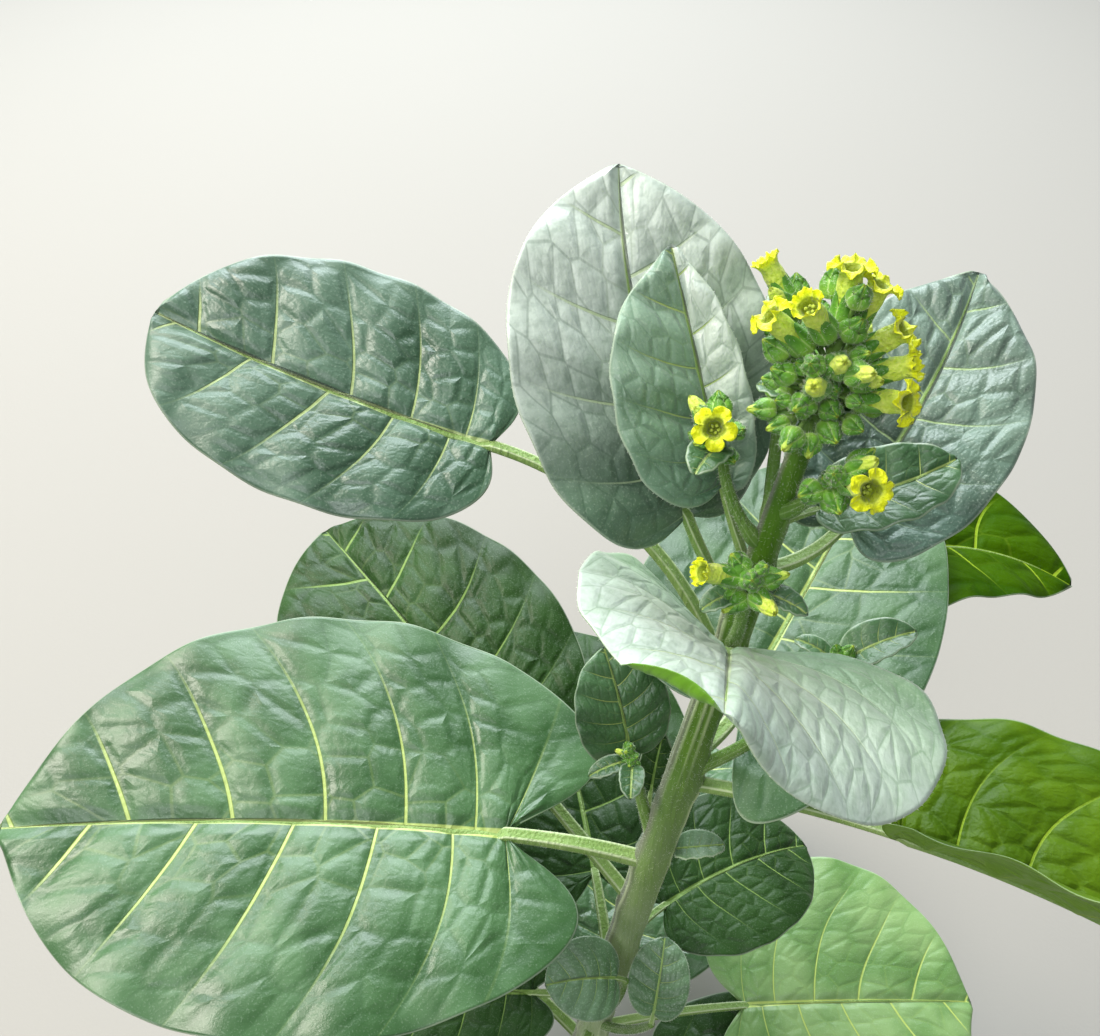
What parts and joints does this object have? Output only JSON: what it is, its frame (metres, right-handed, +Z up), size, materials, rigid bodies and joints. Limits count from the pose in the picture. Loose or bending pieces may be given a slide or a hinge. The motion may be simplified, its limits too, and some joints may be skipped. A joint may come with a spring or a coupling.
{
  "type": "tobacco plant",
  "caption": "Flowering tobacco plant with a leaning green stem, broad quilted oval leaves on long stalks, and clusters of small yellow tubular flowers at its top.",
  "frame": {"origin": "middle of the flat cut under the main stem, at level ground", "axes": "+Z up, +X to the side that the stem leans to, -Y the front"},
  "size_m": [0.5414, 0.4508, 0.6959],
  "materials": {
    "stem": "hairy green bark, satin",
    "leaf": "soft sheen, quilted",
    "pale_leaf": "downy, matte",
    "bright_leaf": "soft sheen, quilted",
    "blossom": "soft matte petals"
  },
  "bodies": {
    "root": {"stem": "stem", "branch_left_axil": "stem", "branch_right_axil": "stem", "branch_left_flowers": "stem", "branch_front_flowers": "stem", "branch_low_flowers": "stem", "branch_back_flowers": "stem", "shoot_front": "stem", "shoot_front_right": "stem", "leaf_front_left": "leaf", "leaf_upper_left": "leaf", "leaf_upper_back": "pale_leaf", "leaf_upright": "pale_leaf", "leaf_towards_front": "pale_leaf", "leaf_upper_right": "pale_leaf", "leaf_small_right": "leaf", "leaf_far_right": "bright_leaf", "leaf_behind": "leaf", "leaf_right": "bright_leaf", "leaf_low_right": "leaf", "leaf_base_right": "bright_leaf", "leaf_low_back": "leaf", "leaf_middle_back_left": "leaf", "leaf_low_left": "leaf", "leaf_base_front_right": "leaf", "leaf_base_front": "leaf", "leaf_base_back_left": "leaf", "leaf_base_back": "leaf", "leaf_base_left": "leaf", "leaf_curled": "pale_leaf", "leaf_left_axil": "leaf", "leaf_left_axil_small": "leaf", "leaf_shoot_front": "leaf", "leaf_shoot_front_right": "leaf", "flowers_top": "blossom", "flowers_left": "blossom", "flowers_front": "blossom", "flowers_low": "blossom", "flowers_back": "blossom", "buds_right_axil": "blossom", "buds_left_axil": "blossom"}
  },
  "joints": []
}
